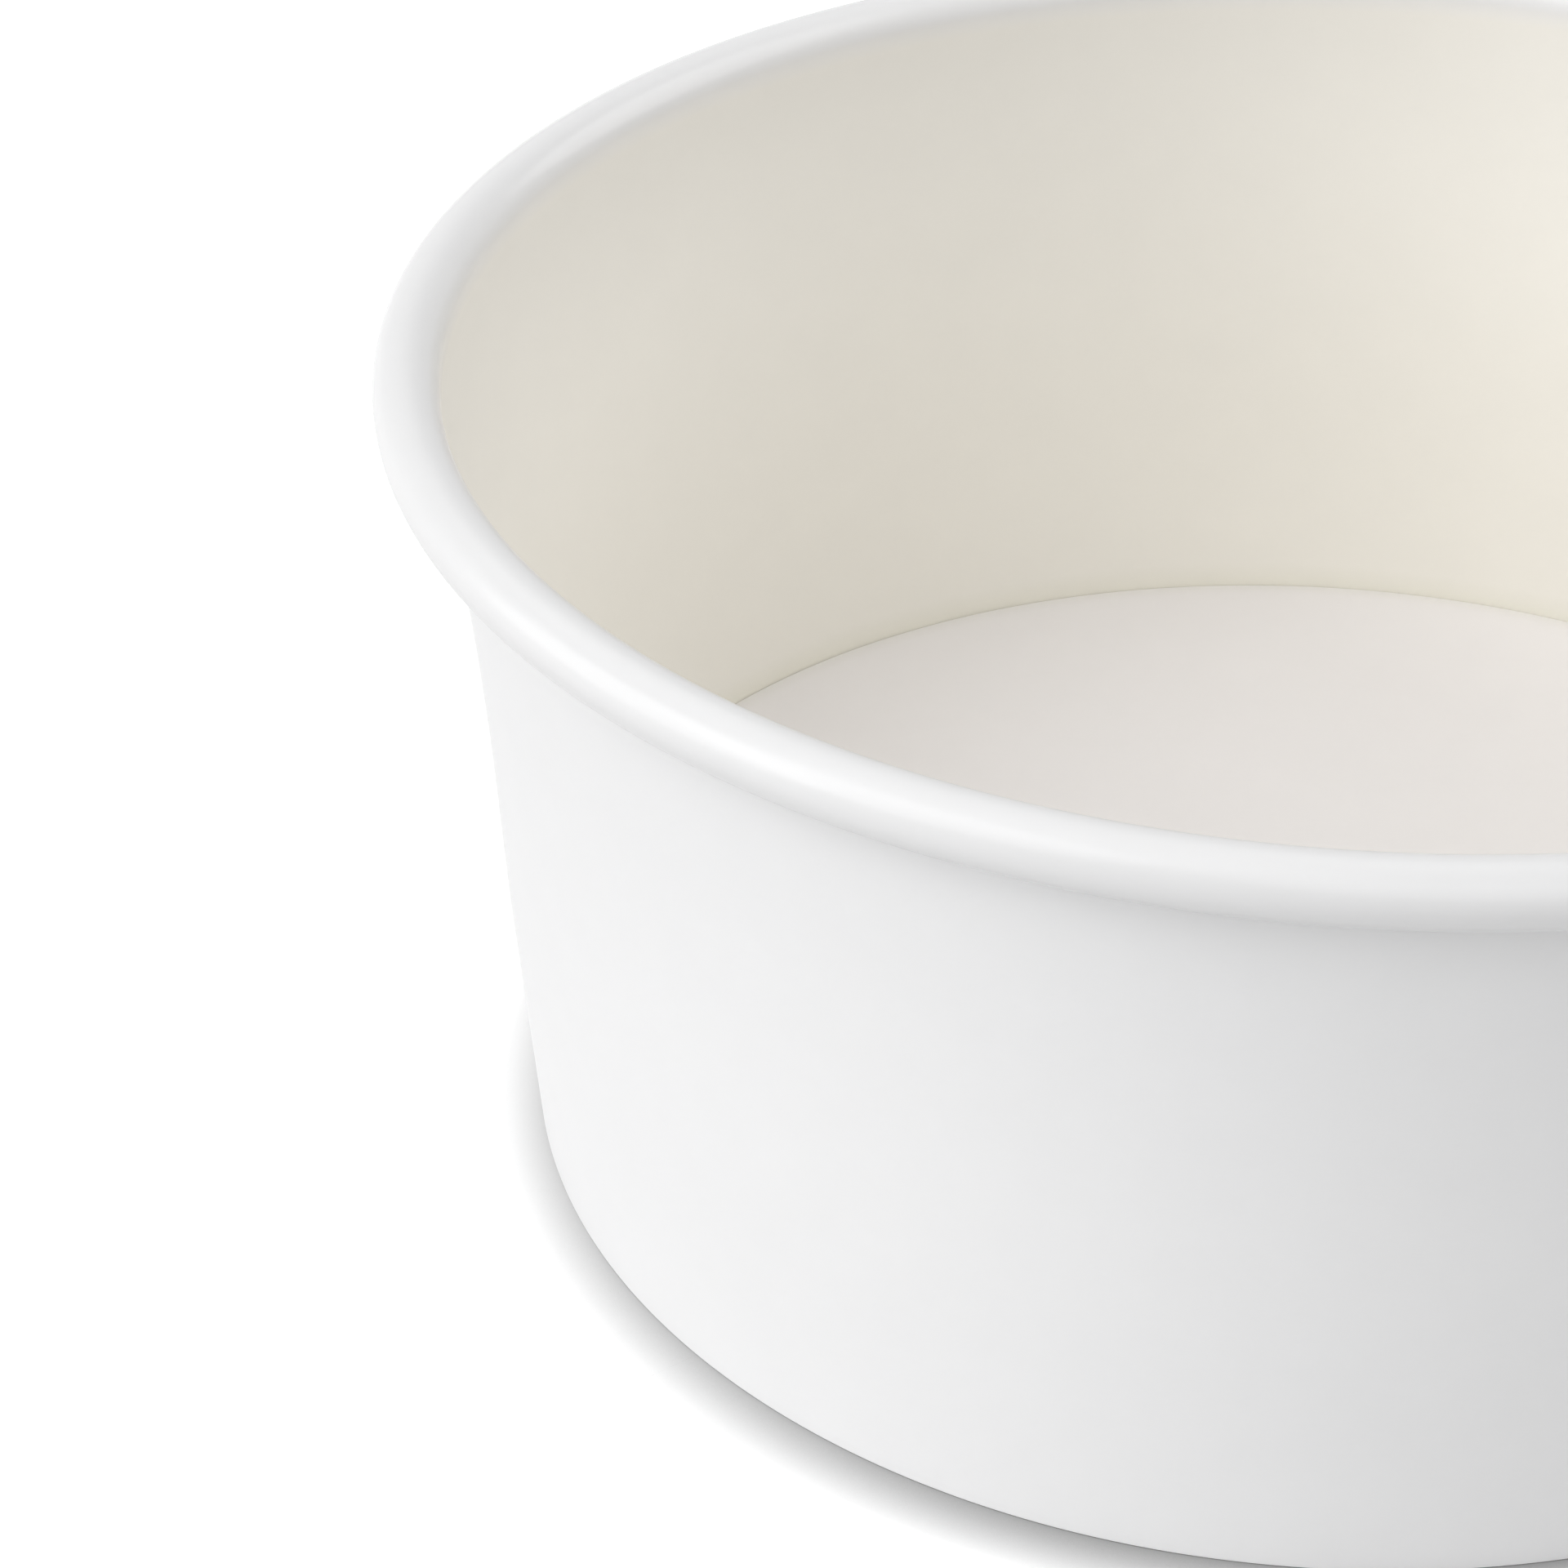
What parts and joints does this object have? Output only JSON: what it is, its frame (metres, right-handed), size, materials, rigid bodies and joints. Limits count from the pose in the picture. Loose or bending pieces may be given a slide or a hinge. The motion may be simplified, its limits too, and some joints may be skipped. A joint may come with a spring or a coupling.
{
  "type": "paper sundae cup",
  "caption": "Round paper sundae cup: tapering board wall with a rolled rim, an overlapped side seam and a folded hem that grips a raised bottom disc.",
  "frame": {"origin": "on the table, at the middle of the cup's foot", "axes": "+Z is the cup's own axis, from the table up through the open mouth; +X points at the side seam"},
  "size_m": [0.0952, 0.095, 0.0427],
  "materials": {
    "wall_board": "white coated board, softly glossy, slightly creamy on the inside",
    "disc_board": "white coated board, softly glossy"
  },
  "bodies": {
    "root": {"side_wall": "wall_board", "bottom_disc": "disc_board"}
  },
  "joints": []
}
